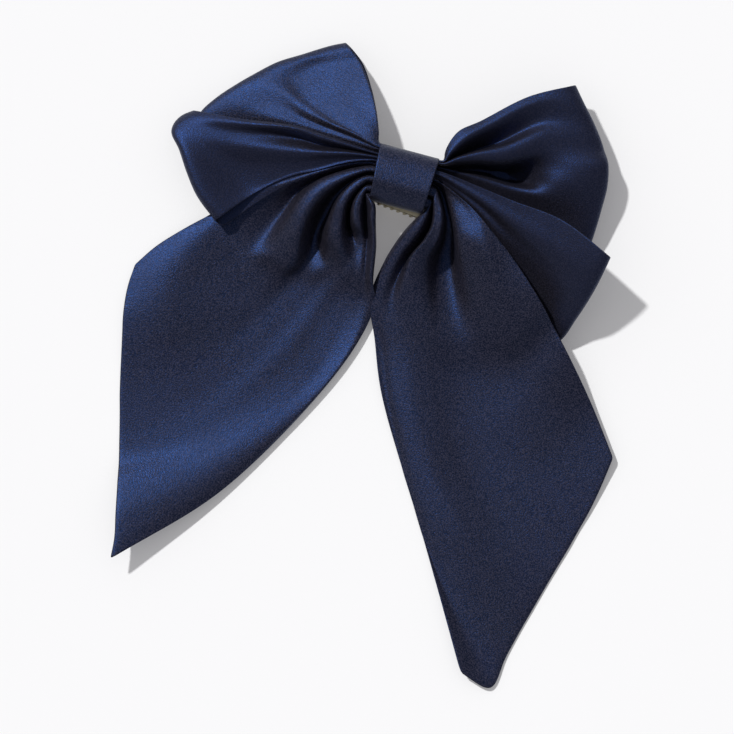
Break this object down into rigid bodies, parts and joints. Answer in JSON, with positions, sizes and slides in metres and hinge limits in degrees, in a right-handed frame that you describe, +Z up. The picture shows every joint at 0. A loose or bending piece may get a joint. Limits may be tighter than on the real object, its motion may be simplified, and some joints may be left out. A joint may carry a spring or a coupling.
{
  "type": "hair bow clip",
  "caption": "Satin hair bow with open ribbon loops and long slant-cut tails gathered into a knot band over a toothed, sprung metal clip",
  "frame": {"origin": "on the surface the bow lies on, under the middle of its outline", "axes": "+Z up from the surface, X along the loops from left to right, +Y towards the tops of the loops, -Y towards the ends of the tails"},
  "size_m": [0.179, 0.21, 0.0274],
  "materials": {
    "satin": "navy satin with a fine grain",
    "clip_metal": "pale gold plated spring steel"
  },
  "bodies": {
    "bow": {"loop_upper_left": "satin", "loop_lower_left": "satin", "loop_upper_right": "satin", "loop_lower_right": "satin", "tail_left": "satin", "tail_right": "satin", "knot_band": "satin", "clip_arm": "clip_metal", "clip_pin": "clip_metal", "clip_spring": "clip_metal"},
    "jaw": {"clip_jaw": "clip_metal"}
  },
  "joints": [
    {"name": "jaw_hinge", "type": "hinge", "parent": "bow", "child": "jaw", "pos_m": [0.00842, 0.0501, 0.0063], "axis": [-0.0993, -0.9951, 0], "range_deg": [0, 18], "stiffness_Nm_per_rad": 0.08, "springref_deg": -68.75, "deforming": ["clip_spring"]}
  ]
}
